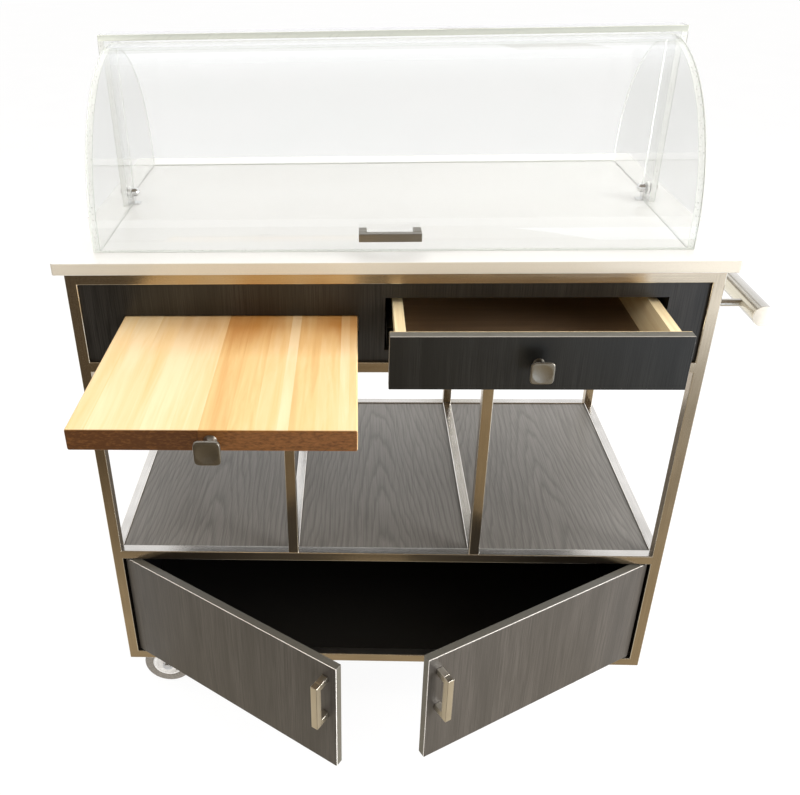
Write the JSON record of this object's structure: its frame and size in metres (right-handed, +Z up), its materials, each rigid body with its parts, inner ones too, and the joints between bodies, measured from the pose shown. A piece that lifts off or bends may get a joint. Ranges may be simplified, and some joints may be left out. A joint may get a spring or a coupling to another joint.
{
  "type": "cheese cart",
  "caption": "Wheeled cheese cart: square-tube frame, stone counter under a roll-back clear cover, pull-out cutting board, drawer, shelf bays and a two-door cabinet.",
  "frame": {"origin": "on the floor, under the middle of the tube frame", "axes": "+Z up; -Y is the front with the doors, drawer and board; +X is the push bar's side"},
  "size_m": [1.1145, 1, 1.2903],
  "materials": {
    "stainless": "fine brushed square tube, bright on top faces",
    "cap_metal": "satin turned end cap",
    "dark_laminate": "charcoal wood-grain laminate, matt with a soft sheen",
    "shelf_laminate": "grey-brown wood-grain laminate with cathedral figure",
    "black_lining": "matt black board",
    "white_quartz": "polished white quartz with a cream edge",
    "clear_acrylic": "clear cast acrylic with polished edges",
    "bright_chrome": "polished",
    "nylon": "natural nylon",
    "satin_nickel": "satin nickel plate",
    "maple_block": "oiled edge-grain maple with a darker end grain",
    "maple": "lacquered maple",
    "slide_steel": "black zinc",
    "zinc_steel": "bright zinc plate",
    "hub_white": "moulded white",
    "tyre_grey": "grey non-marking rubber"
  },
  "bodies": {
    "cart": {"corner_posts": "stainless", "divider_posts": "stainless", "bottom_rails": "stainless", "shelf_rails": "stainless", "band_rails": "stainless", "top_rails": "stainless", "push_bar": "stainless", "push_bar_standoffs": "stainless", "push_bar_caps": "cap_metal", "fascia": "dark_laminate", "cabinet_sides": "dark_laminate", "cabinet_back": "dark_laminate", "apron_sides": "dark_laminate", "apron_back": "dark_laminate", "shelf_panels": "shelf_laminate", "cabinet_floor": "black_lining", "apron_floor": "black_lining", "apron_dividers": "black_lining", "counter_top": "white_quartz", "rear_shell": "clear_acrylic", "rear_shell_ends": "clear_acrylic", "pivot_studs": "bright_chrome", "pivot_nuts": "bright_chrome", "pivot_brackets": "bright_chrome", "pivot_spacers": "nylon", "pivot_washers": "nylon", "board_runners": "maple", "slide_outers": "slide_steel", "caster_plates": "zinc_steel", "caster_bolts": "zinc_steel"},
    "dome_cover": {"front_cover": "clear_acrylic", "front_cover_ends": "clear_acrylic", "cover_pull": "satin_nickel"},
    "board": {"cutting_board": "maple_block", "board_knob": "satin_nickel"},
    "drawer": {"drawer_front": "dark_laminate", "drawer_sides": "maple", "drawer_back": "maple", "drawer_bottom": "maple", "drawer_knob": "satin_nickel", "slide_inners": "slide_steel"},
    "slide_middle": {"slide_middles": "slide_steel"},
    "left_leaf": {"left_door": "dark_laminate", "left_door_pull": "satin_nickel", "left_door_pins": "zinc_steel"},
    "right_leaf": {"right_door": "dark_laminate", "right_door_pull": "satin_nickel", "right_door_pins": "zinc_steel"},
    "front_left_swivel": {"front_left_fork": "zinc_steel"},
    "front_left_wheel": {"front_left_hub": "hub_white", "front_left_tyre": "tyre_grey"},
    "front_right_swivel": {"front_right_fork": "zinc_steel"},
    "front_right_wheel": {"front_right_hub": "hub_white", "front_right_tyre": "tyre_grey"},
    "rear_left_swivel": {"rear_left_fork": "zinc_steel"},
    "rear_left_wheel": {"rear_left_hub": "hub_white", "rear_left_tyre": "tyre_grey"},
    "rear_right_swivel": {"rear_right_fork": "zinc_steel"},
    "rear_right_wheel": {"rear_right_hub": "hub_white", "rear_right_tyre": "tyre_grey"}
  },
  "joints": [
    {"name": "cover_hinge", "type": "hinge", "parent": "cart", "child": "dome_cover", "pos_m": [0, 0.006, 1.0163], "axis": [-1, 0, 0], "range_deg": [0, 80]},
    {"name": "board_slide", "type": "slide", "parent": "cart", "child": "board", "axis": [0, -1, 0], "range_m": [-0.34, 0.04]},
    {"name": "drawer_slide", "type": "slide", "parent": "cart", "child": "drawer", "axis": [0, -1, 0], "range_m": [-0.136, 0.244]},
    {"name": "slide_extension", "type": "slide", "parent": "cart", "child": "slide_middle", "axis": [0, -1, 0], "range_m": [-0.068, 0.122]},
    {"name": "left_door_hinge", "type": "hinge", "parent": "cart", "child": "left_leaf", "pos_m": [-0.4845, -0.287, 0.2688], "axis": [0, 0, -1], "range_deg": [-33.6, 76.4]},
    {"name": "right_door_hinge", "type": "hinge", "parent": "cart", "child": "right_leaf", "pos_m": [0.4845, -0.287, 0.2688], "axis": [0, 0, 1], "range_deg": [-30.4, 79.6]},
    {"name": "front_left_swivel_turn", "type": "hinge", "parent": "cart", "child": "front_left_swivel", "pos_m": [-0.42, -0.22, 0.111], "axis": [0, 0, 1], "continuous": true},
    {"name": "front_left_wheel_spin", "type": "hinge", "parent": "front_left_swivel", "child": "front_left_wheel", "pos_m": [-0.456, -0.22, 0.0508], "axis": [0, 1, 0], "continuous": true},
    {"name": "front_right_swivel_turn", "type": "hinge", "parent": "cart", "child": "front_right_swivel", "pos_m": [0.42, -0.22, 0.111], "axis": [0, 0, 1], "continuous": true},
    {"name": "front_right_wheel_spin", "type": "hinge", "parent": "front_right_swivel", "child": "front_right_wheel", "pos_m": [0.384, -0.22, 0.0508], "axis": [0, 1, 0], "continuous": true},
    {"name": "rear_left_swivel_turn", "type": "hinge", "parent": "cart", "child": "rear_left_swivel", "pos_m": [-0.42, 0.22, 0.111], "axis": [0, 0, 1], "continuous": true},
    {"name": "rear_left_wheel_spin", "type": "hinge", "parent": "rear_left_swivel", "child": "rear_left_wheel", "pos_m": [-0.456, 0.22, 0.0508], "axis": [0, 1, 0], "continuous": true},
    {"name": "rear_right_swivel_turn", "type": "hinge", "parent": "cart", "child": "rear_right_swivel", "pos_m": [0.42, 0.22, 0.111], "axis": [0, 0, 1], "continuous": true},
    {"name": "rear_right_wheel_spin", "type": "hinge", "parent": "rear_right_swivel", "child": "rear_right_wheel", "pos_m": [0.384, 0.22, 0.0508], "axis": [0, 1, 0], "continuous": true}
  ],
  "couplings": [
    {"joint": "slide_extension", "follows": "drawer_slide", "ratio": 0.5}
  ]
}
